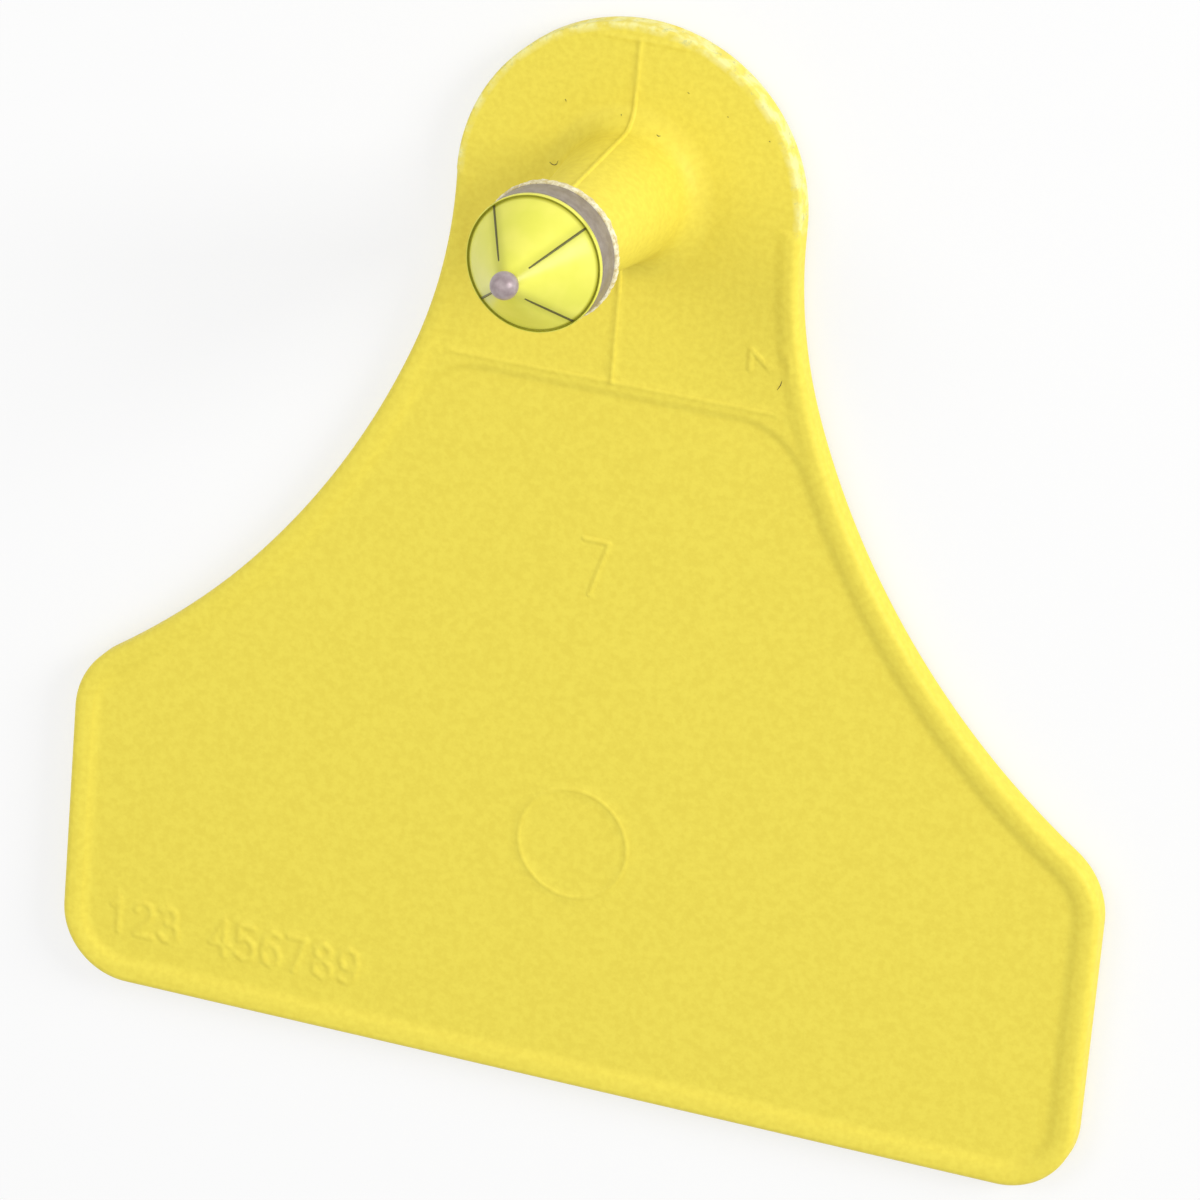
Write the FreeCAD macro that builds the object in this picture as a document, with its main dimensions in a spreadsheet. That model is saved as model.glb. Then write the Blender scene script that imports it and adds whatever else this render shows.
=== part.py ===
"""Male half of a large flag ear tag for cattle, in millimetres.

A flat moulded flag with a round head carries a hollow stud.  A metal point is set in the
end of the stud: its shank stands in the stud, its round flange sits on a cream ring, and
four thin fins run up to a ball.  A clear yellow cone fills the space between the fins.

Frame: the stud's axis is Z and the flag's flat back lies on Z = 0, so the stud points up.
+Y runs from the flag to its round head, and the tag is symmetric about X = 0.  The head's
middle, which the flag's sizes are measured from, is a little nearer the flag than the stud.
"""
import FreeCAD, Part
import math
import os
import re

import Sketcher

V = FreeCAD.Vector

# Every size has a name, a plain value (millimetres, degrees or a count) and a note.
SIZES = (
    # outline of the flag
    ("head_offset", 0.6, "from the stud's axis down to the head's middle"),
    ("head_radius", 12.14, "round head"),
    ("neck_straight", 0.87, "straight run of each side below the head's middle"),
    ("neck_sweep", 34.6, "radius of the hollow side at the neck"),
    ("neck_turn", 20.9, "degrees that the neck's arc turns"),
    ("flank_sweep", 56.5, "radius of the hollow side below the neck"),
    ("shoulder_round", 5.65, "radius of the shoulder"),
    ("half_width", 37.5, "from the middle to a straight side"),
    ("flag_drop", 64.33, "from the head's middle to the bottom edge"),
    ("corner_round", 5.1, "radius of the bottom corners"),
    # thicknesses and edges of the flag
    ("rim_top", 1.95, "height of the raised rim"),
    ("head_top", 1.8, "thickness of the head and neck"),
    ("field_top", 1.6, "thickness of the flag's field"),
    ("rim_width", 1.5, "width of the raised rim"),
    ("rim_slope", 60.0, "degrees that the rim's inner side leans back"),
    ("field_gap", 0.5, "from the line across the neck to the field"),
    ("field_corner", 3.3, "radius of the field's top corners"),
    ("edge_round", 0.5, "rounding of the rim's outer edge"),
    ("back_round", 0.3, "rounding of the back's edge"),
    # thin raised lines that the mould leaves
    ("line_height", 0.12, "how far a line stands up"),
    ("line_width", 0.3, "width of a line"),
    ("head_margin", 1.1, "from the head's edge to the line across it"),
    ("neck_line", 12.7, "from the head's middle to the line across the neck"),
    ("mark_drop", 46.35, "from the head's middle to the middle of the round mark"),
    ("mark_radius", 3.95, "middle radius of the round mark"),
    # stud
    ("flare_round", 1.9, "radius of the hollow flare at the stud's foot"),
    ("foot_radius", 4.55, "stud at the head's face, without the flare"),
    ("shaft_end_radius", 3.05, "stud at its far end"),
    ("shaft_end", 15.8, "height of the stud's far end"),
    ("bore_radius", 1.7, "hole for the applicator's pin"),
    ("bore_depth", 12.2, "depth of the hole, up to the metal shank"),
    # metal point
    ("shank_radius", 2.2, "shank set in the stud"),
    ("shank_gap", 0.03, "gap round the shank"),
    ("flange_radius", 4.6, "flange below the cone"),
    ("flange_height", 2.2, "thickness of the flange"),
    ("flange_bevel", 0.12, "bevel of the flange's edges"),
    ("ball_radius", 0.92, "ball at the tip"),
    ("ball_rise", 5.55, "from the flange to the middle of the ball"),
    ("spine_foot", 1.5, "radius of the core between the fins, at the flange"),
    ("spine_neck", 0.4, "radius of the core below the ball"),
    ("fin_thickness", 0.16, "thickness of a fin"),
    ("fin_count", 4, "fins round the core"),
    ("fin_turn", 42.0, "degrees from +X to the first fin"),
    # cone and ring
    ("skirt_height", 0.4, "height of the cone's upright edge"),
    ("skirt_step", 0.07, "step from the upright edge to the cone"),
    ("skirt_web", 0.4, "wall of the upright edge outside the fins"),
    ("crown_radius", 0.75, "radius of the cone where the ball sits"),
    ("crown_drop", 0.35, "from the middle of the ball to the cone's end"),
    ("ring_height", 1.0, "height of the cream ring"),
    ("ring_overhang", 0.12, "how far the ring stands out past the flange"),
    ("ring_bevel", 0.45, "bevel of the ring's lower edge"),
)
NAMES = [alias for alias, value, note in SIZES]

doc = FreeCAD.newDocument("ear_tag")
sheet = doc.addObject("Spreadsheet::Sheet", "Sizes")
for row, (alias, value, note) in enumerate(SIZES, start=1):
    sheet.set("A%d" % row, alias)
    sheet.set("B%d" % row, str(value))
    sheet.set("C%d" % row, note)
    sheet.setAlias("B%d" % row, alias)
doc.recompute()

# ------------------------------------------------------------ heights that follow

FLANGE_LOW = "(shaft_end + ring_height)"
FLANGE_TOP = "(%s + flange_height)" % FLANGE_LOW
SKIRT_TOP = "(%s + skirt_height)" % FLANGE_TOP
CONE_FOOT = "(flange_radius - skirt_step)"
BALL_MIDDLE = "(%s + ball_rise)" % FLANGE_TOP
CROWN_TOP = "(%s - crown_drop)" % BALL_MIDDLE
SHANK_HOLE = "(shank_radius + shank_gap)"
RING_RADIUS = "(flange_radius + ring_overhang)"
SHAFT_LEAN = "atan((foot_radius - shaft_end_radius) / (shaft_end - head_top))"
NECK_X = "(head_radius + neck_sweep)"
FLANK_X = "(%s + (flank_sweep - neck_sweep) * cos(neck_turn * 1 deg))" % NECK_X
FLANK_Y = "((flank_sweep - neck_sweep) * sin(neck_turn * 1 deg) - neck_straight)"
FIELD_TOP = "(0 - neck_line - field_gap)"
FLARE_X = "(foot_radius + flare_round * (1 - sin(%s)) / cos(%s))" % (SHAFT_LEAN, SHAFT_LEAN)
RIB_END_X = "(shaft_end_radius + line_height / cos(%s))" % SHAFT_LEAN
HEAD_LINE = "(head_radius - head_margin)"
HALF_CHORD = "(sqrt(head_radius ^ 2 - (%s + line_width) ^ 2) - edge_round)" % HEAD_LINE
HALF_NECK = "(%s - sqrt(neck_sweep ^ 2 - (neck_line - neck_straight) ^ 2) - rim_width / 2)" % NECK_X


# ------------------------------------------------------------ sketches and features

def size(alias):
    """The plain value of one size."""
    return float(sheet.get(alias))


def bind(feature, prop, expression):
    """Tie a property to sizes, named in the expression as in the sheet."""
    tied = re.sub(r"\b(%s)\b" % "|".join(NAMES), r"Sizes.\1", expression)
    feature.setExpression(prop, tied)


def new_body(label):
    body = doc.addObject("PartDesign::Body", label)
    body.Label = label
    return body


def origin_part(body, role):
    """One of the body's own planes or axes."""
    return next(item for item in body.Origin.OriginFeatures if item.Role == role)


def new_sketch(body, name, plane):
    """A sketch on one of the body's own planes, with its middle on the stud's axis."""
    sketch = body.newObject("Sketcher::SketchObject", name)
    sketch.AttachmentSupport = [(origin_part(body, plane), "")]
    sketch.MapMode = "FlatFace"
    return sketch


def flag_sketch(body, name, lift="0"):
    """A level sketch with its middle at the head's middle, at a height above the back."""
    sketch = new_sketch(body, name, "XY_Plane")
    bind(sketch, ".AttachmentOffset.Base.y", "0 - head_offset")
    bind(sketch, ".AttachmentOffset.Base.z", lift)
    return sketch


def add(body, kind, name, sketch=None, **ties):
    """A feature whose properties are tied to expressions."""
    feature = body.newObject("PartDesign::" + kind, name)
    if sketch is not None:
        feature.Profile = sketch
    for prop, expression in ties.items():
        bind(feature, prop, expression)
    return feature


def relate(sketch, kind, *where):
    return sketch.addConstraint(Sketcher.Constraint(kind, *where))


def as_drawn(sketch, kind, where):
    """What a dimension measures on the rough drawing."""
    if kind == "Radius":
        return sketch.Geometry[where[0]].Radius
    if kind == "Distance":
        return sketch.Geometry[where[0]].length()
    point = sketch.getPoint(*where[2:])
    return point.x if kind == "DistanceX" else point.y


def dimension(sketch, kind, where, expression):
    """A driving dimension, which starts as drawn and takes its value from the sheet."""
    index = relate(sketch, kind, *where, as_drawn(sketch, kind, where))
    bind(sketch, "Constraints[%d]" % index, expression)


def pin(sketch, piece, end, across, along):
    """Hold an end of a piece at two expressions, across and along the sketch."""
    for kind, axis, text in (("DistanceX", -2, across), ("DistanceY", -1, along)):
        if text == "0":
            relate(sketch, "PointOnObject", piece, end, axis)
        else:
            dimension(sketch, kind, (-1, 1, piece, end), text)


def line(start, end):
    """A straight piece, with the end that a loop enters it by first."""
    return Part.LineSegment(V(*start, 0), V(*end, 0)), (1, 2)


def arc(centre, radius, start, end):
    """A round piece from one angle to another in degrees, clockwise if end < start."""
    circle = Part.Circle(V(*centre, 0), V(0, 0, 1), radius)
    low, high = sorted((math.radians(start), math.radians(end)))
    return Part.ArcOfCircle(circle, low, high), (1, 2) if start < end else (2, 1)


def draw(sketch, pieces, smooth=0):
    """Draw a closed loop whose first few joints, as many as smooth says, are tangent."""
    count = len(pieces)
    for curve, ends in pieces:
        sketch.addGeometry(curve, False)
    for here in range(count):
        after = (here + 1) % count
        kind = "Tangent" if here < smooth else "Coincident"
        relate(sketch, kind, here, pieces[here][1][1], after, pieces[after][1][0])


def polygon(sketch, *corners):
    """A closed loop of straight sides.  Each corner is a pair of expressions."""
    count = len(corners)
    around = [math.radians(360.0 * i / count) for i in range(count)]
    rough = [(math.cos(angle), math.sin(angle)) for angle in around]
    draw(sketch, [line(rough[i], rough[(i + 1) % count]) for i in range(count)])
    for side, corner in enumerate(corners):
        pin(sketch, side, 1, *corner)


def turned(body, kind, name, *corners):
    """A polygon in the XZ plane turned once round Z.  kind adds or cuts it."""
    sketch = new_sketch(body, name + "_profile", "XZ_Plane")
    polygon(sketch, *corners)
    feature = add(body, kind, name, sketch)
    feature.ReferenceAxis = (sketch, ["V_Axis"])
    feature.Angle = 360.0
    return feature


def edges_where(feature, test):
    """Names of the feature's edges whose every end and middle pass the test."""
    found = []
    for number, edge in enumerate(feature.Shape.Edges, start=1):
        middle = edge.valueAt((edge.FirstParameter + edge.LastParameter) / 2)
        if all(test(point) for point in [middle] + [v.Point for v in edge.Vertexes]):
            found.append("Edge%d" % number)
    return found


def rounding(body, name, base, test, radius):
    """Round the edges of the last feature that pass the test."""
    doc.recompute()
    fillet = add(body, "Fillet", name, Radius=radius)
    fillet.Base = (base, edges_where(base, test))
    doc.recompute()
    return fillet


def near(one, other):
    return abs(one - other) < 1e-4


# ------------------------------------------------------------ outline of the flag

def flank():
    """Centres of the neck's, flank's and shoulder's arcs, and where the flank ends.

    The neck's arc starts upright beside the head.  The flank's arc follows it without a
    corner, and runs on until the shoulder's arc, bent the other way, brings the side
    upright again at half the flag's width.
    """
    turn = math.radians(size("neck_turn"))
    sweep = size("flank_sweep")
    shoulder = size("shoulder_round")
    neck = V(size("head_radius") + size("neck_sweep"), -size("neck_straight"), 0)
    side = neck + V(math.cos(turn), math.sin(turn), 0) * (sweep - size("neck_sweep"))
    end = math.acos((side.x - size("half_width") + shoulder) / (sweep + shoulder))
    bend = side - V(math.cos(end), math.sin(end), 0) * (sweep + shoulder)
    return neck, side, bend, math.degrees(end)


def lower_side(inset, start, overlap):
    """The right-hand side from an angle on the flank to the bottom and the middle."""
    neck, side, bend, end = flank()
    half = size("half_width")
    drop = -size("flag_drop")
    corner = size("corner_round")
    return [
        arc((side.x, side.y), size("flank_sweep") + inset, 180 + start, 180 + end),
        arc((bend.x, bend.y), size("shoulder_round") - inset, end, 0),
        line((half - inset, bend.y), (half - inset, drop + corner)),
        arc((half - corner, drop + corner), corner - inset, 0, -90),
        line((half - corner, drop + inset), (-overlap, drop + inset)),
    ]


def hold_lower_side(sketch, first, inset):
    """Dimensions of the pieces of lower_side, the first of which has this number."""
    sweep, shoulder, side, corner, bottom = range(first, first + 5)
    dimension(sketch, "Radius", (sweep,), "flank_sweep + " + inset)
    dimension(sketch, "Radius", (shoulder,), "shoulder_round - " + inset)
    relate(sketch, "Vertical", side)
    dimension(sketch, "DistanceX", (-1, 1, side, 1), "half_width - " + inset)
    dimension(sketch, "Radius", (corner,), "corner_round - " + inset)
    relate(sketch, "Horizontal", bottom)
    dimension(sketch, "DistanceY", (-1, 1, bottom, 1), "%s - flag_drop" % inset)


def half_outline(body):
    """The right-hand half of the flag's outline, closed along the middle."""
    sketch = flag_sketch(body, "half_outline")
    head = size("head_radius")
    straight = size("neck_straight")
    turn = size("neck_turn")
    neck = flank()[0]
    draw(sketch, [
        arc((0, 0), head, 90, 0),
        line((head, 0), (head, -straight)),
        arc((neck.x, neck.y), size("neck_sweep"), 180, 180 + turn),
        *lower_side(0, turn, 0),
        line((0, -size("flag_drop")), (0, head)),
    ], smooth=7)
    relate(sketch, "Coincident", 0, 3, -1, 1)
    relate(sketch, "PointOnObject", 0, 2, -2)
    dimension(sketch, "Radius", (0,), "head_radius")
    relate(sketch, "Vertical", 1)
    dimension(sketch, "Distance", (1,), "neck_straight")
    dimension(sketch, "Radius", (2,), "neck_sweep")
    dimension(sketch, "DistanceX", (-1, 1, 3, 3), FLANK_X)
    hold_lower_side(sketch, 3, "0")
    relate(sketch, "PointOnObject", 7, 2, -2)
    return sketch


def half_head_cut(body):
    """Right-hand half of the cut that lowers the head and neck inside the rim.

    It reaches past the middle by the rim's width, so that the two halves meet with no
    ridge, past the head's edge, which has no rim, and down past the field's top corners.
    """
    sketch = flag_sketch(body, "half_head_cut", "rim_top")
    rim = size("rim_width")
    head = size("head_radius")
    straight = size("neck_straight")
    turn = size("neck_turn")
    neck, side, bend, end = flank()
    sweep = size("flank_sweep") + rim
    low = -size("neck_line") - size("field_gap") - 1.5 * size("field_corner")
    stop = math.degrees(math.asin((side.y - low) / sweep))
    foot = side.x - sweep * math.cos(math.radians(stop))
    draw(sketch, [
        line((head - rim, 0), (head - rim, -straight)),
        arc((neck.x, neck.y), size("neck_sweep") + rim, 180, 180 + turn),
        arc((side.x, side.y), sweep, 180 + turn, 180 + stop),
        line((foot, low), (-rim, low)),
        line((-rim, low), (-rim, head + rim)),
        line((-rim, head + rim), (head + rim, head + rim)),
        line((head + rim, head + rim), (head + rim, 0)),
        line((head + rim, 0), (head - rim, 0)),
    ], smooth=2)
    relate(sketch, "Vertical", 0)
    pin(sketch, 0, 1, "head_radius - rim_width", "0")
    dimension(sketch, "Distance", (0,), "neck_straight")
    dimension(sketch, "Radius", (1,), "neck_sweep + rim_width")
    dimension(sketch, "Radius", (2,), "flank_sweep + rim_width")
    dimension(sketch, "DistanceX", (-1, 1, 2, 3), FLANK_X)
    relate(sketch, "Horizontal", 3)
    pin(sketch, 3, 2, "0 - rim_width", FIELD_TOP + " - 1.5 * field_corner")
    relate(sketch, "Vertical", 4)
    relate(sketch, "Horizontal", 5)
    pin(sketch, 5, 2, "head_radius + rim_width", "head_radius + rim_width")
    relate(sketch, "Vertical", 6)
    relate(sketch, "Horizontal", 7)
    return sketch


def half_field_cut(body):
    """Right-hand half of the flag's sunk field, which reaches past the middle."""
    sketch = flag_sketch(body, "half_field_cut", "rim_top")
    rim = size("rim_width")
    corner = size("field_corner")
    neck, side, bend, end = flank()
    top = -size("neck_line") - size("field_gap")
    reach = size("flank_sweep") + rim + corner
    rise = side.y - (top - corner)
    middle = side.x - math.sqrt(reach * reach - rise * rise)
    start = math.degrees(math.asin(rise / reach))
    draw(sketch, [
        line((-rim, top), (middle, top)),
        arc((middle, top - corner), corner, 90, start),
        *lower_side(rim, start, rim),
        line((-rim, rim - size("flag_drop")), (-rim, top)),
    ], smooth=6)
    relate(sketch, "Horizontal", 0)
    pin(sketch, 0, 1, "0 - rim_width", FIELD_TOP)
    dimension(sketch, "Radius", (1,), "field_corner")
    dimension(sketch, "DistanceX", (-1, 1, 2, 3), FLANK_X)
    dimension(sketch, "DistanceY", (-1, 1, 2, 3), FLANK_Y)
    hold_lower_side(sketch, 2, "rim_width")
    relate(sketch, "Vertical", 7)
    return sketch


# ------------------------------------------------------------ the moulded tag

def mirrored(body, name, *features):
    """The same features on the other side of the middle."""
    mirror = body.newObject("PartDesign::Mirrored", name)
    mirror.Originals = list(features)
    mirror.MirrorPlane = (origin_part(body, "YZ_Plane"), [""])
    body.Tip = mirror
    return mirror


def raised_strip(body, name, level, half_length, middle):
    """A straight raised line across the tag, on the face at this level."""
    sketch = flag_sketch(body, name + "_outline", "%s - line_height" % level)
    low = "%s - line_width / 2" % middle
    high = "%s + line_width / 2" % middle
    left = "0 - %s" % half_length
    polygon(sketch, (left, low), (half_length, low), (half_length, high), (left, high))
    add(body, "Pad", name, sketch, Length="2 * line_height")


def raised_ring(body):
    """The round mark on the field."""
    sketch = flag_sketch(body, "round_mark_outline", "field_top - line_height")
    for number, radius in enumerate(("mark_radius + line_width / 2",
                                     "mark_radius - line_width / 2")):
        circle = Part.Circle(V(0, -size("mark_drop"), 0), V(0, 0, 1), size("mark_radius"))
        sketch.addGeometry(circle, False)
        dimension(sketch, "Radius", (number,), radius)
        pin(sketch, number, 3, "0", "0 - mark_drop")
    add(body, "Pad", "round_mark", sketch, Length="2 * line_height")


def parting_rib(body, name, sign, reach, far):
    """The mould's parting line, from the tag's face over the flare and up the stud.

    It is one upright plate in the YZ plane, which stands out of the face and the stud by a
    line's height.  sign is 1 towards the head's end and -1 towards the flag.  reach says
    how far from the axis it starts, as an expression, and far as a number.
    """
    sketch = new_sketch(body, name + "_outline", "YZ_Plane")
    foot = size("foot_radius")
    face = size("head_top")
    end = size("shaft_end")
    height = size("line_height")
    flare = size("flare_round")
    lean = math.atan((foot - size("shaft_end_radius")) / (end - face))
    middle = foot + flare * (1 - math.sin(lean)) / math.cos(lean)
    touch = middle - (flare - height) * math.cos(lean)
    touch_height = face + flare - (flare - height) * math.sin(lean)
    top = size("shaft_end_radius") + height / math.cos(lean)
    slope = math.degrees(lean)
    curve = (270, 180 + slope) if sign > 0 else (-90, -slope)
    draw(sketch, [
        line((sign * far, face + height), (sign * middle, face + height)),
        arc((sign * middle, face + flare), flare - height, *curve),
        line((sign * touch, touch_height), (sign * top, end)),
        line((sign * top, end), (0, end)),
        line((0, end), (0, face / 2)),
        line((0, face / 2), (sign * far, face / 2)),
        line((sign * far, face / 2), (sign * far, face + height)),
    ], smooth=2)
    side = "%d * " % sign
    relate(sketch, "Horizontal", 0)
    pin(sketch, 0, 1, side + reach, "head_top + line_height")
    dimension(sketch, "Radius", (1,), "flare_round - line_height")
    dimension(sketch, "DistanceX", (-1, 1, 1, 3), side + FLARE_X)
    pin(sketch, 3, 1, side + RIB_END_X, "shaft_end")
    pin(sketch, 4, 1, "0", "shaft_end")
    pin(sketch, 5, 1, "0", "head_top / 2")
    pin(sketch, 6, 1, side + reach, "head_top / 2")
    rib = add(body, "Pad", name, sketch, Length="line_width")
    rib.Midplane = True


def make_tag():
    body = new_body("tag_body")
    plate = add(body, "Pad", "half_plate", half_outline(body), Length="rim_top")
    whole = mirrored(body, "plate", plate)
    edge = rounding(body, "front_edge", whole, lambda p: near(p.z, size("rim_top")), "edge_round")
    rounding(body, "back_edge", edge, lambda p: near(p.z, 0), "back_round")
    head_cut = add(body, "Pocket", "head_cut", half_head_cut(body), Length="rim_top - head_top")
    field_cut = add(body, "Pocket", "field_cut", half_field_cut(body), Length="rim_top - field_top")
    bind(field_cut, "TaperAngle", "rim_slope * 1 deg")
    mirrored(body, "cuts", head_cut, field_cut)
    turned(body, "Revolution", "stud",
           ("0", "head_top / 2"), ("foot_radius", "head_top / 2"), ("foot_radius", "head_top"),
           ("shaft_end_radius", "shaft_end"), ("0", "shaft_end"))
    foot = size("foot_radius")
    rounding(body, "flare", body.Tip,
             lambda p: near(p.z, size("head_top")) and near(math.hypot(p.x, p.y), foot),
             "flare_round")
    raised_strip(body, "head_line", "head_top", HALF_CHORD, HEAD_LINE)
    raised_strip(body, "neck_line", "head_top", HALF_NECK, "0 - neck_line")
    raised_ring(body)
    parting_rib(body, "upper_rib", 1, "(%s - head_offset)" % HEAD_LINE, size("head_radius"))
    parting_rib(body, "lower_rib", -1, "(neck_line + head_offset)", size("neck_line"))
    turned(body, "Groove", "bore",
           ("0", "0"), ("bore_radius", "0"), ("bore_radius", "bore_depth"),
           (SHANK_HOLE, "bore_depth"), (SHANK_HOLE, "shaft_end"), ("0", "shaft_end"))
    return body


# ------------------------------------------------------------ metal point, cone and ring

def make_tip():
    body = new_body("tip_core")
    bevel = "flange_bevel"
    turned(body, "Revolution", "shank_and_flange",
           ("0", "bore_depth"), ("shank_radius", "bore_depth"), ("shank_radius", FLANGE_LOW),
           ("flange_radius - " + bevel, FLANGE_LOW),
           ("flange_radius", FLANGE_LOW + " + " + bevel),
           ("flange_radius", FLANGE_TOP + " - " + bevel),
           ("flange_radius - " + bevel, FLANGE_TOP), ("spine_foot", FLANGE_TOP),
           ("spine_neck", CROWN_TOP), ("0", CROWN_TOP))
    sketch = new_sketch(body, "fin_outline", "XZ_Plane")
    sketch.AttachmentOffset = FreeCAD.Placement(V(), FreeCAD.Rotation(V(0, 1, 0), 1))
    bind(sketch, ".AttachmentOffset.Rotation.Angle", "fin_turn * 1 deg")
    polygon(sketch, ("0", FLANGE_TOP + " - " + bevel),
            ("flange_radius - skirt_web", FLANGE_TOP + " - " + bevel),
            ("flange_radius - skirt_web", SKIRT_TOP), (CONE_FOOT, SKIRT_TOP),
            ("crown_radius", CROWN_TOP), ("0", CROWN_TOP))
    fin = add(body, "Pad", "fin", sketch, Length="fin_thickness")
    fin.Midplane = True
    fins = add(body, "PolarPattern", "fins", Occurrences="fin_count")
    fins.Originals = [fin]
    fins.Axis = (origin_part(body, "Z_Axis"), [""])
    fins.Angle = 360.0
    body.Tip = fins
    ball = add(body, "AdditiveSphere", "ball", Radius="ball_radius")
    bind(ball, ".Placement.Base.z", BALL_MIDDLE)
    return body


def make_cover(core):
    """The clear cone: a solid cone with the metal core's own shape taken out of it."""
    blank = new_body("cone_blank")
    turned(blank, "Revolution", "cone",
           ("0", FLANGE_TOP), ("flange_radius", FLANGE_TOP), ("flange_radius", SKIRT_TOP),
           (CONE_FOOT, SKIRT_TOP), ("crown_radius", CROWN_TOP), ("0", CROWN_TOP))
    cover = doc.addObject("Part::Cut", "tip_cover")
    cover.Base = blank
    cover.Tool = core
    return cover


def make_ring():
    body = new_body("seal_ring")
    turned(body, "Revolution", "ring",
           (SHANK_HOLE, "shaft_end"), (RING_RADIUS + " - ring_bevel", "shaft_end"),
           (RING_RADIUS, "shaft_end + ring_bevel"), (RING_RADIUS, FLANGE_LOW),
           (SHANK_HOLE, FLANGE_LOW))
    return body


tag = make_tag()
tip = make_tip()
PIECES = (tag, tip, make_cover(tip), make_ring())
doc.recompute()

# ------------------------------------------------------------ check and write

for item in doc.Objects:
    if "Invalid" in item.State or "Error" in item.State:
        raise RuntimeError("%s failed: %s" % (item.Label, item.State))
os.makedirs("parts", exist_ok=True)
for piece in PIECES:
    shape = piece.Shape
    if shape.isNull() or not shape.isValid() or len(shape.Solids) != 1:
        raise RuntimeError("%s is not one sound solid" % piece.Label)
for piece in PIECES:
    piece.Shape.exportStep("parts/%s.step" % piece.Label)
    box = piece.Shape.BoundBox
    print("%-10s %9.2f mm3  z %.2f to %.2f" % (piece.Label, piece.Shape.Volume, box.ZMin, box.ZMax))
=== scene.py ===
"""Looks of the male half of a large flag ear tag for cattle.

The flag lies flat on its back, with the stud standing up.  The moulded tag, the metal
point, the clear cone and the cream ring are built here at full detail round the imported
part.  Lengths are in millimetres until a mesh is made; lights and the floor are in metres.
+Y runs from the flag to its round head and the stud's axis is Z.
"""

import math

import bpy
import numpy as np
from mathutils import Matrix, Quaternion, Vector, geometry, kdtree, noise


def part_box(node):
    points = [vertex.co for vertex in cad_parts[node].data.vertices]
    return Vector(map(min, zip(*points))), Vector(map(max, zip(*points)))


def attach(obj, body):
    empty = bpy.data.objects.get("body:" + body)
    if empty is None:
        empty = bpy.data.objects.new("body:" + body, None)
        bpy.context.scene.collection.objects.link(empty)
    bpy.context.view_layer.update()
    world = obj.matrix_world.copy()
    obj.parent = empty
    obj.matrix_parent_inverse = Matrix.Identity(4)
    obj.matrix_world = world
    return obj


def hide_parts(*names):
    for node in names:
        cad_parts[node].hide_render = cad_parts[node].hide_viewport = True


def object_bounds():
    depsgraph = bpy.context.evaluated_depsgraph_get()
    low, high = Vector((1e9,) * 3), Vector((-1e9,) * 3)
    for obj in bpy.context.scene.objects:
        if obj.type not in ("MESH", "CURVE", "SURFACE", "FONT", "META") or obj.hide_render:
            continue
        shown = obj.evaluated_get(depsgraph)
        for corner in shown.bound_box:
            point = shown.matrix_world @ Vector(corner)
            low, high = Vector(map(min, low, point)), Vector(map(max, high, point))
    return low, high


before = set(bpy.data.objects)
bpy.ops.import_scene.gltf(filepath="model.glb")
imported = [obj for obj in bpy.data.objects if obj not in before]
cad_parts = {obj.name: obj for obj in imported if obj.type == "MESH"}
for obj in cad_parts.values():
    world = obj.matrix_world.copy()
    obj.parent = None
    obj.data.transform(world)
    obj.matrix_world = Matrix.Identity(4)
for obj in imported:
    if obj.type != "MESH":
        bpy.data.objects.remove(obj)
cad_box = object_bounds()
MM = 0.001

# ------------------------------------------------------------ sizes

# Outline, from the head's middle, which is a little nearer the flag than the stud's axis.
HEAD_OFFSET = 0.6
HEAD_RADIUS = 12.14
NECK_STRAIGHT = 0.87
NECK_SWEEP = 34.6
NECK_TURN = math.radians(20.9)
FLANK_SWEEP = 56.5
SHOULDER_ROUND = 5.65
HALF_WIDTH = 37.5
FLAG_DROP = 64.33
CORNER_ROUND = 5.09
# Heights above the back.
RIM_TOP = 1.95
HEAD_TOP = 1.8
FIELD_TOP = 1.6
# The rim, the sunk field and the raised lines.
RIM_ROUND = 0.52
RIM_CREST = 0.75
RIM_FOOT = 1.75
FIELD_EDGE = 1.3
FIELD_SLOPE = 0.8
FIELD_LINE = -13.1
FIELD_CORNER = 3.6
NECK_LINE = -12.7
HEAD_LINE = 11.05
LINE_HEIGHT = 0.1
FLASH_ROUGHNESS = 0.07
FLASH_DROP = 0.03
MARK_DROP = -46.35
MARK_RADIUS = 3.95
BACK_ROUND = 0.3
# The stud.
FLARE_ROUND = 1.9
FOOT_RADIUS = 4.55
BORE_RADIUS = 1.7
BORE_DEPTH = 12.2
SHANK_HOLE = 2.23

tip_low, tip_high = (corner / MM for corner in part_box("tip_core"))
ring_low, ring_high = (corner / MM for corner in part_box("seal_ring"))
cover_low, cover_high = (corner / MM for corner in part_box("tip_cover"))
SHAFT_END = ring_low.z
SHAFT_END_RADIUS = 3.05
FLANGE_LOW = ring_high.z
FLANGE_TOP = cover_low.z
FLANGE_RADIUS = tip_high.x
CROWN_TOP = cover_high.z


# ------------------------------------------------------------ small helpers

def ease(low, high, value):
    """Runs smoothly from 0 at low to 1 at high."""
    t = np.clip((value - low) / (high - low), 0.0, 1.0)
    return t * t * (3.0 - 2.0 * t)


def ripple(points, scale, seed=0.0):
    """Smooth noise from -1 to 1 at each point."""
    shift = Vector((seed, 2.7 * seed, -1.9 * seed))
    return np.array([noise.noise(Vector(p) / scale + shift) for p in points])


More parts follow.
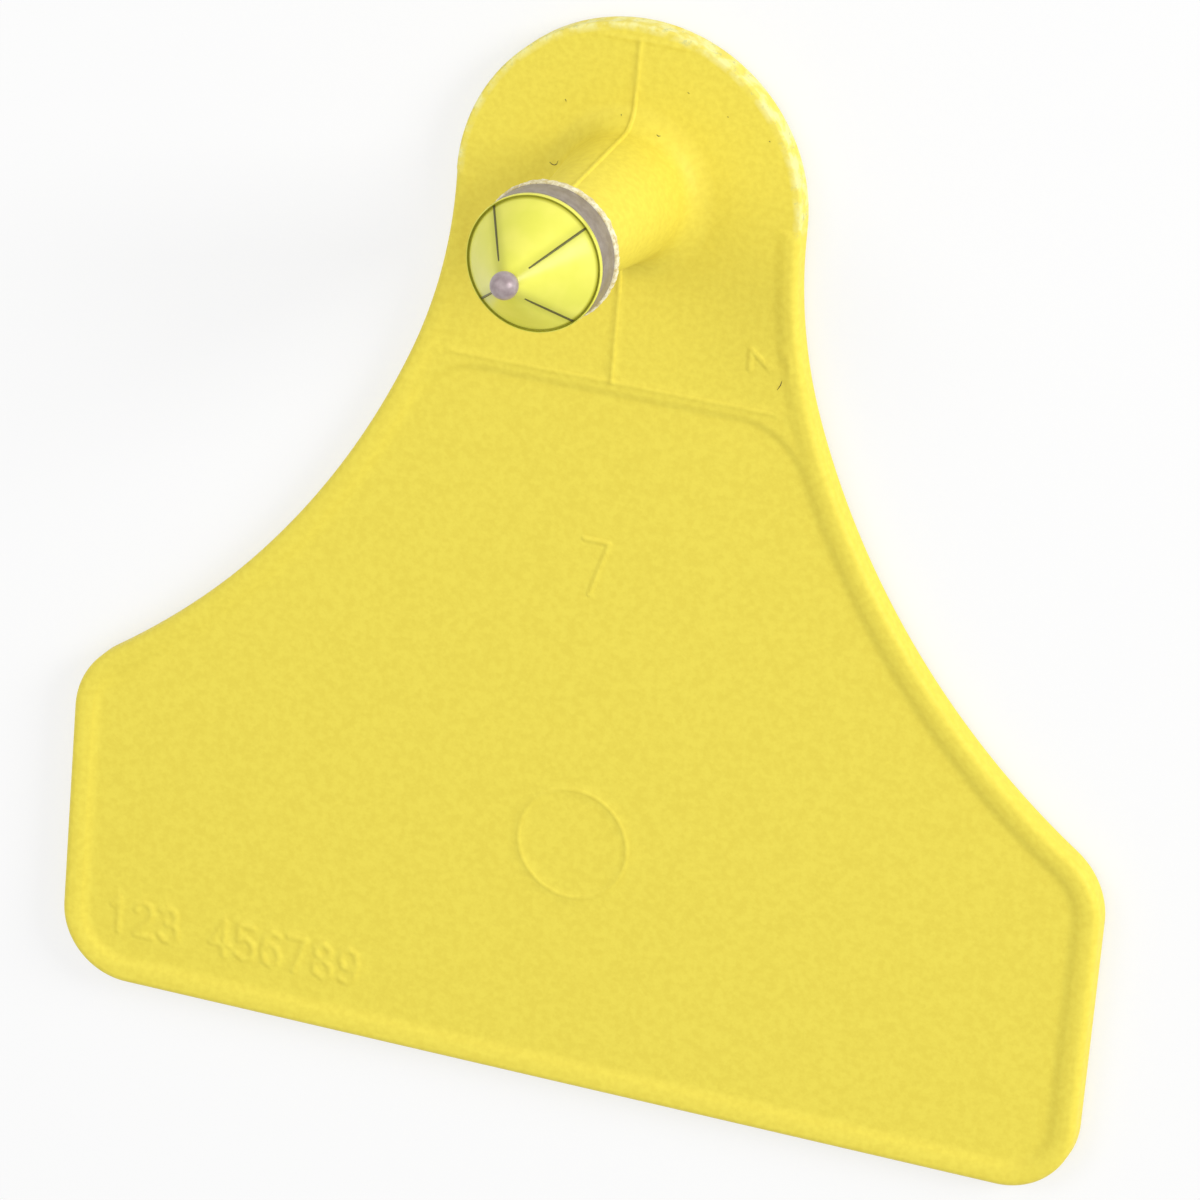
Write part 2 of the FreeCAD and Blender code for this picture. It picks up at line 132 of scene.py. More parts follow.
def mesh_piece(name, points, faces, finish, **marks):
    """A mesh object from points in millimetres.  marks are values painted on the points."""
    mesh = bpy.data.meshes.new(name)
    mesh.from_pydata((np.asarray(points) * MM).tolist(), [], faces)
    for mark, values in marks.items():
        layer = mesh.attributes.new(mark, "FLOAT", "POINT")
        layer.data.foreach_set("value", np.asarray(values, dtype=float))
    mesh.materials.append(finish)
    mesh.shade_smooth()
    piece = bpy.data.objects.new(name, mesh)
    bpy.context.scene.collection.objects.link(piece)
    return piece


def grid_faces(rows, columns, first=0, closed=False):
    """Quads between rows of points round Z, each row counted anticlockwise from above."""
    faces = []
    for row in range(rows if closed else rows - 1):
        here, after = first + row * columns, first + (row + 1) % rows * columns
        for i in range(columns):
            j = (i + 1) % columns
            faces.append((here + i, here + j, after + j, after + i))
    return faces


def strip_faces(rows, sides):
    """Faces of a closed strip of rows of points, with a cap at each end."""
    last = (rows - 1) * sides
    caps = [tuple(reversed(range(sides))), tuple(range(last, last + sides))]
    return grid_faces(rows, sides) + caps


# ------------------------------------------------------------ outline of the flag

def outline():
    """Points of the right-hand side from the top to the bottom, and their inward normals."""
    neck = np.array([HEAD_RADIUS + NECK_SWEEP, -NECK_STRAIGHT])
    flank = neck + (FLANK_SWEEP - NECK_SWEEP) * np.array([math.cos(NECK_TURN), math.sin(NECK_TURN)])
    end = math.acos((flank[0] - HALF_WIDTH + SHOULDER_ROUND) / (FLANK_SWEEP + SHOULDER_ROUND))
    bend = flank - (FLANK_SWEEP + SHOULDER_ROUND) * np.array([math.cos(end), math.sin(end)])
    corner = np.array([HALF_WIDTH - CORNER_ROUND, CORNER_ROUND - FLAG_DROP])
    points, inward = [], []

    def turn(centre, radius, start, stop, step, hollow=False):
        count = max(2, round(abs(stop - start) * radius / step))
        for t in np.linspace(start, stop, count, endpoint=False):
            ray = np.array([math.cos(t), math.sin(t)])
            points.append(centre + radius * ray)
            inward.append(ray if hollow else -ray)

    def run(start, stop, step):
        start, stop = np.array(start), np.array(stop)
        way = (stop - start) / np.linalg.norm(stop - start)
        for t in np.linspace(0, 1, max(1, round(np.linalg.norm(stop - start) / step)), endpoint=False):
            points.append(start + t * (stop - start))
            inward.append(np.array([way[1], -way[0]]))

    turn((0, 0), HEAD_RADIUS, math.pi / 2, 0.06, 0.16)
    turn((0, 0), HEAD_RADIUS, 0.06, 0, 0.06)
    run((HEAD_RADIUS, 0), (HEAD_RADIUS, -NECK_STRAIGHT), 0.15)
    turn(neck, NECK_SWEEP, math.pi, math.pi + NECK_TURN, 0.35, hollow=True)
    turn(flank, FLANK_SWEEP, math.pi + NECK_TURN, math.pi + end, 0.4, hollow=True)
    turn(bend, SHOULDER_ROUND, end, 0, 0.25)
    run((HALF_WIDTH, bend[1]), (HALF_WIDTH, corner[1]), 0.4)
    turn(corner, CORNER_ROUND, 0, -math.pi / 2, 0.25)
    run((corner[0], -FLAG_DROP), (0, -FLAG_DROP), 0.4)
    points.append(np.array([0.0, -FLAG_DROP]))
    inward.append(np.array([0.0, 1.0]))
    return np.array(points), np.array(inward)


def whole_outline():
    """The closed outline, anticlockwise from above."""
    side, inward = outline()
    flip = np.array([-1.0, 1.0])
    points = np.vstack([side * flip, side[-2:0:-1]])
    normals = np.vstack([inward * flip, inward[-2:0:-1]])
    return points, normals


EDGE, INWARD = whole_outline()


def edge_distance(points):
    """Distance from each point inside the flag to its edge."""
    tree = kdtree.KDTree(len(EDGE))
    for i, (x, y) in enumerate(EDGE):
        tree.insert((x, y, 0), i)
    tree.balance()
    found = []
    for x, y in points:
        here = np.array([x, y])
        i = tree.find((x, y, 0))[1]
        best = np.linalg.norm(here - EDGE[i])
        for j in (i - 1, (i + 1) % len(EDGE)):
            way = EDGE[j] - EDGE[i]
            t = np.clip((here - EDGE[i]) @ way / (way @ way), 0, 1)
            best = min(best, np.linalg.norm(here - EDGE[i] - t * way))
        found.append(best)
    return np.array(found)


# ------------------------------------------------------------ plain numbers in low relief

STROKES = {
    "1": [[(0.15, 0.78), (0.5, 1), (0.5, 0)]],
    "2": [[(0.02, 0.75), (0.12, 0.93), (0.45, 1), (0.8, 0.93), (0.92, 0.72), (0.8, 0.5),
           (0.05, 0), (0.95, 0)]],
    "3": [[(0.05, 0.9), (0.4, 1), (0.78, 0.92), (0.85, 0.72), (0.7, 0.55), (0.35, 0.53)],
          [(0.7, 0.55), (0.95, 0.38), (0.92, 0.14), (0.55, 0), (0.2, 0.02), (0, 0.14)]],
    "4": [[(0.72, 0), (0.72, 1), (0, 0.3), (1, 0.3)]],
    "5": [[(0.9, 1), (0.15, 1), (0.08, 0.55), (0.5, 0.63), (0.88, 0.5), (0.95, 0.25),
           (0.78, 0.05), (0.4, 0), (0.02, 0.1)]],
    "6": [[(0.85, 0.95), (0.5, 1), (0.15, 0.8), (0.02, 0.4), (0.12, 0.08), (0.5, 0), (0.85, 0.1),
           (0.95, 0.32), (0.8, 0.55), (0.45, 0.6), (0.08, 0.42)]],
    "7": [[(0, 1), (0.95, 1), (0.35, 0)]],
    "8": [[(0.5, 0.54), (0.15, 0.65), (0.1, 0.85), (0.5, 1), (0.9, 0.85), (0.85, 0.65),
           (0.5, 0.54), (0.05, 0.35), (0.08, 0.1), (0.5, 0), (0.92, 0.1), (0.95, 0.35), (0.5, 0.54)]],
    "9": [[(0.15, 0.05), (0.5, 0), (0.85, 0.2), (0.98, 0.6), (0.88, 0.92), (0.5, 1), (0.15, 0.9),
           (0.05, 0.68), (0.2, 0.45), (0.55, 0.4), (0.92, 0.58)]],
}

# Each row of numbers: text, where its foot starts, height, width and pitch of a digit, how
# wide and high a stroke is, how soft its edge is, and the turn of the row in degrees.
NUMBERS = (
    ("123 456789", (-33.9, -60.5), 2.5, 1.35, 1.95, 0.3, 0.1, 0.22, 0.0),
    ("7", (-1.0, -28.05), 3.9, 1.9, 2.0, 0.22, 0.09, 0.12, 0.0),
    ("2", (9.55, -8.45), 2.9, 1.5, 2.0, 0.28, 0.08, 0.16, -90.0),
)


def digit_lines():
    """Ends, half width, height and softness of every straight piece of every digit."""
    pieces = []
    for text, foot, tall, wide, pitch, width, height, soft, turn in NUMBERS:
        c, s = math.cos(math.radians(turn)), math.sin(math.radians(turn))
        for place, digit in enumerate(text):
            for stroke in STROKES.get(digit, ()):
                at = [(place * pitch + x * wide, y * tall) for x, y in stroke]
                at = [(foot[0] + c * x - s * y, foot[1] + s * x + c * y) for x, y in at]
                pieces += [(a, b, width / 2, height, soft) for a, b in zip(at, at[1:])]
    return pieces


def digit_relief(points):
    relief = np.zeros(len(points))
    for start, stop, half, height, soft in digit_lines():
        start, way = np.array(start), np.array(stop) - np.array(start)
        t = np.clip((points - start) @ way / (way @ way), 0, 1)
        away = np.linalg.norm(points - start - t[:, None] * way, axis=1)
        relief = np.maximum(relief, height * (1 - ease(half - soft / 2, half + soft, away)))
    return relief


# ------------------------------------------------------------ front surface of the tag

def ridge(across, half=0.06, soft=0.13):
    """Height of a thin raised line, as a share, at a distance from its middle."""
    return 1 - ease(half, half + soft, np.abs(across))


def sunk(points, inset):
    """How far each point lies in the field, as a share, with round upper corners."""
    side = inset - FIELD_EDGE
    down = FIELD_LINE - points[:, 1]
    corner = (side < FIELD_CORNER) & (down < FIELD_CORNER)
    cut = FIELD_CORNER - np.hypot(FIELD_CORNER - side, FIELD_CORNER - down)
    return ease(0, FIELD_SLOPE, np.where(corner, cut, np.minimum(side, down)))


def rim_share(y):
    """1 along the flag and the neck, where the rim runs, and 0 round the head."""
    return 1 - ease(-0.25, 0.1, y)


def front_height(points, inset):
    """Height of the front over the back.  points are from the head's middle."""
    x, y = points[:, 0], points[:, 1]
    rim = rim_share(y)
    level = HEAD_TOP + (RIM_TOP - HEAD_TOP) * rim * (1 - ease(RIM_CREST, RIM_FOOT, inset))
    level = level - (HEAD_TOP - FIELD_TOP) * sunk(points, inset)
    open_face = ease(1.0, 1.6, inset)
    level += LINE_HEIGHT * ridge(y - NECK_LINE) * open_face * 0.8
    between = ease(NECK_LINE - 0.1, NECK_LINE, y) * (1 - ease(HEAD_LINE, HEAD_LINE + 0.1, y))
    level += 1.2 * LINE_HEIGHT * ridge(x) * between
    level += 0.5 * LINE_HEIGHT * ridge(y - HEAD_LINE) * ease(0.3, 0.8, inset)
    away = np.hypot(x, y - MARK_DROP) - MARK_RADIUS
    level += 0.9 * LINE_HEIGHT * ridge(away)
    level += digit_relief(points)
    flash = ease(HEAD_LINE, HEAD_LINE + 0.3, y)
    where = np.column_stack([points, np.zeros(len(points))])
    chosen = np.flatnonzero(flash > 0)
    if len(chosen):
        rough = ripple(where[chosen], 1.1, 3.0) + 0.6 * ripple(where[chosen], 0.45, 5.0)
        level[chosen] += FLASH_ROUGHNESS * flash[chosen] * rough - FLASH_DROP * flash[chosen]
    return level


def scattered():
    """Points of the front that follow its lines, steps and numbers closely."""
    sets = []

    def block(x0, x1, y0, y1, across, along):
        xs = np.arange(x0, x1 + across / 2, across)
        ys = np.arange(y0, y1 + along / 2, along)
        sets.append(np.array([(x, y) for y in ys for x in xs]))

    fine = (-0.26, -0.19, -0.13, -0.06, 0.0, 0.06, 0.13, 0.19, 0.26)
    sets.append(np.array([(x, y) for y in np.arange(NECK_LINE, HEAD_LINE + 0.3, 0.2) for x in fine]))
    sets.append(np.array([(x, NECK_LINE + y) for x in np.arange(-15, 15, 0.3) for y in fine]))
    sets.append(np.array([(x, HEAD_LINE + y) for x in np.arange(-5, 5, 0.25) for y in fine]))
    around = np.linspace(0, 2 * math.pi, 170, endpoint=False)
    sets.append(np.array([((MARK_RADIUS + d) * math.cos(t), MARK_DROP + (MARK_RADIUS + d) * math.sin(t))
                          for t in around for d in fine]))
    for text, foot, tall, wide, pitch, width, height, soft, turn in NUMBERS:
        c, s = math.cos(math.radians(turn)), math.sin(math.radians(turn))
        step = 0.11 if len(text) < 3 else 0.14
        xs = np.arange(-0.4, (len(text) - 1) * pitch + wide + 0.4, step)
        ys = np.arange(-0.4, tall + 0.4, step)
        sets.append(np.array([(foot[0] + c * x - s * y, foot[1] + s * x + c * y)
                              for y in ys for x in xs]))
    block(-16, 16, FIELD_LINE - FIELD_SLOPE - 0.1, FIELD_LINE + 0.1, 0.3, 0.11)
    block(9, 17, FIELD_LINE - 6, FIELD_LINE, 0.2, 0.2)
    block(-17, -9, FIELD_LINE - 6, FIELD_LINE, 0.2, 0.2)
    block(-6, 6, HEAD_LINE - 0.3, HEAD_RADIUS, 0.16, 0.16)
    block(-12, 12, -11, 12, 0.6, 0.6)
    block(-38, 38, -65, -11, 0.9, 0.9)
    return np.vstack(sets)


def sifted(points, taken, gap):
    """The points in order, without those nearer than gap to one kept before."""
    cells = {}

    def near(p, limit):
        cx, cy = int(p[0] // gap), int(p[1] // gap)
        for i in (cx - 1, cx, cx + 1):
            for j in (cy - 1, cy, cy + 1):
                for q in cells.get((i, j), ()):
                    if (p[0] - q[0]) ** 2 + (p[1] - q[1]) ** 2 < limit * limit:
                        return True
        return False

    def keep(p):
        cells.setdefault((int(p[0] // gap), int(p[1] // gap)), []).append(p)

    for p in taken:
        keep(tuple(p))
    kept = []
    for p in points:
        p = tuple(p)
        if not near(p, gap):
            keep(p)
            kept.append(p)
    return np.array(kept)


def fill(outer, inner, extra):
    """Triangles between an outer and an inner loop, through the extra points between them."""
    loops = np.vstack([outer, inner])
    n, m = len(outer), len(inner)
    edges = [(i, (i + 1) % n) for i in range(n)] + [(n + i, n + (i + 1) % m) for i in range(m)]
    points = np.vstack([loops, extra]) if len(extra) else loops
    made = geometry.delaunay_2d_cdt([Vector(p) for p in points], edges, [], 0, 1e-5)
    spots, faces, sources = made[0], made[2], made[3]
    if len(spots) != len(points):
        raise RuntimeError("points were merged: %d of %d" % (len(spots), len(points)))
    number = [source[0] for source in sources]
    triangles = np.array([[number[i] for i in face] for face in faces])
    middle = points[triangles].mean(axis=1)
    inside = within(outer, middle) & ~within(inner, middle)
    triangles = triangles[inside]
    a, b, c = (points[triangles[:, i]] for i in range(3))
    area = (b[:, 0] - a[:, 0]) * (c[:, 1] - a[:, 1]) - (b[:, 1] - a[:, 1]) * (c[:, 0] - a[:, 0])
    triangles[area < 0] = triangles[area < 0][:, ::-1]
    return points, triangles


def within(loop, points):
    """True for each point inside the loop."""
    inside = np.zeros(len(points), bool)
    x, y = points[:, 0], points[:, 1]
    for (x0, y0), (x1, y1) in zip(loop, np.roll(loop, -1, axis=0)):
        if y0 != y1:
            crosses = (y0 > y) != (y1 > y)
            inside ^= crosses & (x < (x1 - x0) * (y - y0) / (y1 - y0) + x0)
    return inside


# ------------------------------------------------------------ the moulded tag

FRONT_INSETS = (0.62, 0.75, 0.88, 1.0, 1.12, 1.25, 1.38, 1.5, 1.62, 1.75, 1.9, 2.05, 2.2, 2.4)
STUD_ZONE = 6.9
STUD_ZONE_INNER = 6.6


def band_rings():
    """Rings of points round the flag from the back's flat over the side to the front."""
    y = EDGE[:, 1]
    rim = rim_share(y)
    roundness = 0.2 + (RIM_ROUND - 0.2) * rim
    trimmed = 1 - rim
    rings = []

    def ring(inset, height):
        inset = np.broadcast_to(inset, y.shape)
        at = EDGE + INWARD * inset[:, None]
        rings.append(np.column_stack([at, np.broadcast_to(height, y.shape)]))

    ring(1.0, 0.0)
    for t in np.radians((0, 22, 45, 68, 90)):
        ring(BACK_ROUND * (1 - math.sin(t)), BACK_ROUND * (1 - math.cos(t)))
    top = front_height(EDGE + INWARD * roundness[:, None], roundness)
    for share in (0.2, 0.4, 0.6, 0.8):
        height = BACK_ROUND + share * (top - roundness - BACK_ROUND)
        where = np.column_stack([EDGE, height])
        bite = 0.09 * trimmed * (0.5 + 0.5 * ripple(where, 0.5, 9.0))
        ring(bite, height)
    for t in np.radians((0, 15, 30, 45, 60, 75, 90)):
        ring(roundness * (1 - math.cos(t)), top - roundness * (1 - math.sin(t)))
    for inset in FRONT_INSETS:
        at = EDGE + INWARD * inset
        ring(inset, front_height(at, np.full(len(y), inset)))
    return rings


def stud_angles():
    """Directions round the stud, closer together at the mould's parting rib."""
    spread = (0.5, 0.9, 1.3, 1.7, 2.2, 2.8, 3.5, 4.4, 5.6)
    angles = {round(a, 3) for a in np.arange(0, 360, 360 / 108) if abs(a % 180 - 90) > 6}
    for middle in (90, 270):
        angles |= {middle + sign * a for a in spread for sign in (1, -1)} | {middle}
    return np.radians(sorted(angles))


def flare():
    """The stud's lean from upright, and the radius where its flare meets the head's face."""
    lean = math.atan((FOOT_RADIUS - SHAFT_END_RADIUS) / (SHAFT_END - HEAD_TOP))
    middle = FOOT_RADIUS + FLARE_ROUND * (1 - math.sin(lean)) / math.cos(lean)
    return lean, middle


def stud_profile():
    """Radius, height and outward normal down the stud, from the head's face to the bore."""
    lean, middle = flare()
    places = []
    for t in np.linspace(math.pi / 2, lean, 12):
        ray = (math.cos(t), math.sin(t))
        places.append((middle - FLARE_ROUND * ray[0], HEAD_TOP + FLARE_ROUND * (1 - ray[1]), *ray))
    foot = places[-1]
    ray = (math.cos(lean), math.sin(lean))
    for t in np.linspace(0, 1, 22)[1:]:
        radius = foot[0] + t * (SHAFT_END_RADIUS - foot[0])
        places.append((radius, foot[1] + t * (SHAFT_END - foot[1]), *ray))
    return places


def make_tag(finish):
    rings = band_rings()
    count = len(EDGE)
    lift = np.array([0, -HEAD_OFFSET])
    points = list(np.vstack(rings))
    faces = grid_faces(len(rings), count)
    angles = stud_angles()
    spokes = np.column_stack([np.cos(angles), np.sin(angles)])

    def fill_face(outer_first, inner_first, extra, height, flip):
        outer = np.array(points[outer_first:outer_first + count])[:, :2]
        inner = np.array(points[inner_first:inner_first + len(angles)])[:, :2]
        flat, triangles = fill(outer, inner, extra)
        names = list(range(outer_first, outer_first + count))
        names += range(inner_first, inner_first + len(angles))
        names += range(len(points), len(points) + len(extra))
        if len(extra):
            points.extend(np.column_stack([extra, height(extra)]))
        for triangle in triangles[:, ::-1] if flip else triangles:
            faces.append(tuple(names[i] for i in triangle))

    # The stud, from the head's face up, over its end and down the bore, in the head's frame.
    first = len(points)
    rows = 0
    for radius in (STUD_ZONE, STUD_ZONE_INNER):
        at = spokes * radius - lift
        inset = np.full(len(at), 9.0)
        points.extend(np.column_stack([at, front_height(at, inset)]))
        rows += 1
    for radius, height, out, up in stud_profile():
        raised = 1.2 * LINE_HEIGHT * ridge(radius * np.cos(angles))
        at = spokes * (radius + raised * out)[:, None] - lift
        points.extend(np.column_stack([at, height + raised * up]))
        rows += 1
    for radius, height in ((SHANK_HOLE, SHAFT_END), (SHANK_HOLE, BORE_DEPTH),
                           (BORE_RADIUS, BORE_DEPTH), (BORE_RADIUS, 0.0)):
        points.extend(np.column_stack([spokes * radius - lift, np.full(len(angles), height)]))
        rows += 1
    faces += grid_faces(rows, len(angles), first)
    bore_mouth = first + (rows - 1) * len(angles)

    outer_first = (len(rings) - 1) * count
    outer = np.array(points[outer_first:outer_first + count])[:, :2]
    inner = spokes * STUD_ZONE - lift
    extra = scattered()
    extra = extra[within(outer, extra) & ~within(inner, extra)]
    extra = sifted(extra, np.vstack([outer, inner]), 0.075)
    inset = edge_distance(extra)
    keep = np.linalg.norm(extra + lift, axis=1) > STUD_ZONE + 0.06
    keep &= inset > FRONT_INSETS[-1] + 0.06
    extra, inset = extra[keep], inset[keep]
    fill_face(outer_first, first, extra, lambda at: front_height(at, inset), False)
    back_points = np.array([(x, y) for x in np.arange(-36, 37, 6.0) for y in np.arange(-62, 10, 6.0)])
    back_outer = np.array(points[:count])[:, :2]
    back_points = back_points[within(back_outer, back_points)]
    back_points = back_points[np.linalg.norm(back_points + lift, axis=1) > 3]
    back_points = back_points[edge_distance(back_points) > 1.5]
    fill_face(0, bore_mouth, back_points, lambda at: np.zeros(len(at)), True)

    points = np.array(points)
    flat = points[:, :2]
    reach = np.hypot(flat[:, 0], flat[:, 1])
    scuff = ease(HEAD_RADIUS - 0.55, HEAD_RADIUS - 0.1, reach) * ease(-0.6, 0.6, flat[:, 1])
    points[:, :2] += lift
    return mesh_piece("moulded_tag", points, faces, finish, scuff=scuff)


# ------------------------------------------------------------ metal point, cone and ring

def lathe(profile, angles):
    """Points and faces of a profile turned round Z.  Ends on the axis become single points.

    The profile goes anticlockwise in the plane of radius and height.  It is closed to a ring
    unless it starts and ends on the axis.
    """
    capped = profile[0][0] == 0
    rows = profile[1:-1] if capped else profile
    points = [(r * math.cos(a), r * math.sin(a), z) for r, z in rows for a in angles]
    faces = grid_faces(len(rows), len(angles), closed=not capped)
    if capped:
        low, high = len(points), len(points) + 1
        points += [(0, 0, profile[0][1]), (0, 0, profile[-1][1])]
        last = (len(rows) - 1) * len(angles)
        for i in range(len(angles)):
            j = (i + 1) % len(angles)
            faces += [(j, i, low), (last + i, last + j, high)]
    return points, faces


def joined(*shells):
    """One list of points and one of faces from several closed shells."""
    points, faces = [], []
    for more, theirs in shells:
        faces += [tuple(i + len(points) for i in face) for face in theirs]
        points += [tuple(p) for p in more]
    return points, faces


CORNER_STEPS = 4


def rounded(corners, radius):
    """A profile with each corner replaced by a short curve."""
    made = []
    count = len(corners)
    for i in range(count):
        here = np.array(corners[i], float)
        if here[0] == 0:
            made.append(tuple(here))
            continue
        before = np.array(corners[i - 1], float) - here
        after = np.array(corners[(i + 1) % count], float) - here
        reach = min(radius, np.linalg.norm(before) / 2.2, np.linalg.norm(after) / 2.2)
        start = here + before / np.linalg.norm(before) * reach
        stop = here + after / np.linalg.norm(after) * reach
        for t in np.linspace(0, 1, CORNER_STEPS):
            made.append(tuple((1 - t) ** 2 * start + 2 * t * (1 - t) * here + t * t * stop))
    return made


SKIRT_TOP = FLANGE_TOP + 0.4
GROOVE_IN = 4.38
GROOVE_WAVE = 0.012
CONE_FOOT = (4.36, SKIRT_TOP + 0.02)
CONE_HEAD = (0.75, CROWN_TOP)
BALL_RADIUS = 0.92
BALL_MIDDLE = tip_high.z - BALL_RADIUS
FIN_TURNS = tuple(42 + 90 * i for i in range(4))
FIN_THICKNESS = 0.15
RING_ROUGHNESS = 0.10


def cone_way():
    """Unit directions up the cone's side and out of it, and the side's length."""
    way = np.array(CONE_HEAD) - np.array(CONE_FOOT)
    length = np.linalg.norm(way)
    way = way / length
    return way, np.array([way[1], -way[0]]), length


def fin_shell(turn):
    """A thin plate whose outer edge shows on the cone, a little sunk near the ball."""
    way, out, length = cone_way()
    c, s = math.cos(math.radians(turn)), math.sin(math.radians(turn))
    rows = []
    for t in np.linspace(-0.02, 0.95, 26):
        lift = 0.022 * (1 - ease(0.62, 0.9, t)) - 0.04 * ease(0.7, 0.95, t) + 0.01
        edge = np.array(CONE_FOOT) + way * length * t + out * lift
        deep = edge - out * 0.5
        half = FIN_THICKNESS / 2 * (1 - 0.35 * ease(0.3, 1.0, t))
        for (r, z), side in ((edge, half), (deep, half), (deep, -half), (edge, -half)):
            rows.append((c * r - s * side, s * r + c * side, z))
    return rows, strip_faces(len(rows) // 4, 4)


def make_core(finish):
    angles = np.linspace(0, 2 * math.pi, 144, endpoint=False)
    body = rounded([(0, BORE_DEPTH), (2.2, BORE_DEPTH), (2.2, FLANGE_LOW), (FLANGE_RADIUS, FLANGE_LOW),
                    (FLANGE_RADIUS, FLANGE_TOP - 0.03), (GROOVE_IN - 0.3, FLANGE_TOP - 0.03),
                    (0, FLANGE_TOP - 0.03)], 0.1)
    ball = [(0, BALL_MIDDLE - BALL_RADIUS)]
    ball += [(BALL_RADIUS * math.sin(t), BALL_MIDDLE - BALL_RADIUS * math.cos(t))
             for t in np.linspace(0, math.pi, 40)[1:-1]]
    ball.append((0, BALL_MIDDLE + BALL_RADIUS))
    few = np.linspace(0, 2 * math.pi, 72, endpoint=False)
    shells = [lathe(body, angles), lathe(ball, few)]
    shades = [np.zeros(len(shells[0][0])), np.full(len(shells[1][0]), 0.5)]
    for turn in FIN_TURNS:
        shells.append(fin_shell(turn))
        shades.append(np.ones(len(shells[-1][0])))
    points, faces = joined(*shells)
    return mesh_piece("metal_point", points, faces, finish, shade=np.concatenate(shades))


def make_cover(finish):
    """The cone: an upright skirt, a narrow groove inside it, and the long side, with painted shade beside
    the fins and in the groove.
    """
    way, _, length = cone_way()
    angles = set(np.round(np.arange(0, 360, 2.0), 3))
    for turn in FIN_TURNS:
        angles |= {round((turn + a) % 360, 3) for a in (-3, -1, 1, 3, -5, 5, 0)}
    angles = np.radians(sorted(angles))
    top = SKIRT_TOP
    skirt = [(4.2, FLANGE_TOP), (4.55, FLANGE_TOP), (4.59, FLANGE_TOP + 0.04), (4.6, FLANGE_TOP + 0.12),
             (4.6, top - 0.1), (4.585, top - 0.03), (4.55, top), (4.52, top - 0.02), (4.5, top - 0.07),
             (4.48, top - 0.12), (4.44, top - 0.13), (4.40, top - 0.1), (4.37, top - 0.03)]
    side = [tuple(np.array(CONE_FOOT) + way * length * t) for t in np.linspace(0, 1, 34)[1:]]
    profile = skirt + side + [(0.6, CROWN_TOP), (0.6, FLANGE_TOP + 3.5), (2.0, FLANGE_TOP + 1.0),
                              (4.0, FLANGE_TOP + 0.3)]
    points, faces = lathe(profile, angles)
    points = np.array(points)
    reach = np.hypot(points[:, 0], points[:, 1])
    # Painted shade beside each fin: this mask is 1 at a fin and fades out within 0.75 mm of it, and it
    # darkens the cone's colour there.
    around = np.arctan2(points[:, 1], points[:, 0])
    fin = np.zeros(len(points))
    for turn in FIN_TURNS:
        apart = np.abs((np.degrees(around) - turn + 180) % 360 - 180)
        away = reach * np.sin(np.radians(np.minimum(apart, 90)))
        fin = np.maximum(fin, 1 - ease(0.05, 0.75, away))
    # Painted shade in the groove: this mask colours the groove dark olive, and it also sets where the
    # groove's floor wavers.
    groove = ease(4.33, 4.4, reach) * (1 - ease(4.5, 4.56, reach))
    groove *= ease(top - 0.2, top - 0.15, points[:, 2])
    points[:, 2] += GROOVE_WAVE * ripple(points, 0.6, 4.0) * groove
    return mesh_piece("clear_cone", points, faces, finish, fin=fin, groove=groove)


def make_ring(finish):
    """The cream ring, whose outer edge is ragged."""
    angles = np.linspace(0, 2 * math.pi, 260, endpoint=False)
    rough = ring_high.x
    low, high = SHAFT_END, FLANGE_LOW
    profile = [(SHANK_HOLE, low), (3.6, low), (rough - 0.45, low + 0.02), (rough - 0.3, low + 0.12),
               (rough - 0.15, low + 0.25), (rough - 0.05, low + 0.4), (rough, low + 0.55),
               (rough, low + 0.7), (rough, low + 0.85), (rough - 0.03, high - 0.06), (rough - 0.08, high),
               (4.3, high), (SHANK_HOLE, high)]
    points, faces = lathe(profile, angles)
    points = np.array(points)
    reach = np.hypot(points[:, 0], points[:, 1])
    outer = ease(4.0, 4.4, reach)
    bumps = 0.6 * ripple(points, 0.55, 1.0) + 0.55 * ripple(points, 0.22, 2.0)
    bumps += 0.3 * ripple(points, 0.11, 6.0)
    scale = 1 + RING_ROUGHNESS * outer * bumps / reach
    points[:, 0] *= scale
    points[:, 1] *= scale
    return mesh_piece("cream_ring", points, faces, finish)


# ------------------------------------------------------------ specks and fine hairs

# Middle line of each speck or hair on the head, and its half width.
MARKS = (
    ([(-4.86, 5.58), (-4.78, 5.42)], 0.035),
    ([(-0.84, 5.32), (-0.78, 5.24)], 0.045),
    ([(1.87, 4.5), (2.02, 4.42), (2.13, 4.44)], 0.035),
    ([(9.43, 5.29), (9.5, 5.23)], 0.045),
    ([(-5.56, 1.12), (-5.38, 1.02), (-5.14, 1.03), (-4.94, 1.17), (-4.86, 1.42)], 0.03),
    ([(11.86, -10.85), (11.8, -11.15), (11.6, -11.55)], 0.03),
    ([(3.55, 7.55), (3.68, 7.47)], 0.025),
    ([(6.42, 6.42), (6.5, 6.37)], 0.03),
)


def face_height(x, y):
    """Height of the head's face or of the stud's flare over a point."""
    _, middle = flare()
    over = middle - math.hypot(x, y)
    return HEAD_TOP + FLARE_ROUND - math.sqrt(max(0.0, FLARE_ROUND ** 2 - max(0.0, over) ** 2))


def make_marks(finish):
    shells = []
    for line, half in MARKS:
        line = np.array(line)
        points = []
        for i, (x, y) in enumerate(line):
            ahead = line[min(i + 1, len(line) - 1)] - line[max(i - 1, 0)]
            across = np.array([-ahead[1], ahead[0]]) / np.linalg.norm(ahead)
            thin = 0.45 if i in (0, len(line) - 1) else 1.0
            height = face_height(x, y)
            for side, up in ((1, 0.0), (0.4, 0.035), (-0.4, 0.035), (-1, 0.0), (0, -0.02)):
                px, py = np.array([x, y]) + across * side * half * thin
                points.append((px, py, height + up))
        shells.append((points, strip_faces(len(line), 5)))
    points, faces = joined(*shells)
    return mesh_piece("specks", points, faces, finish)


# ------------------------------------------------------------ finishes

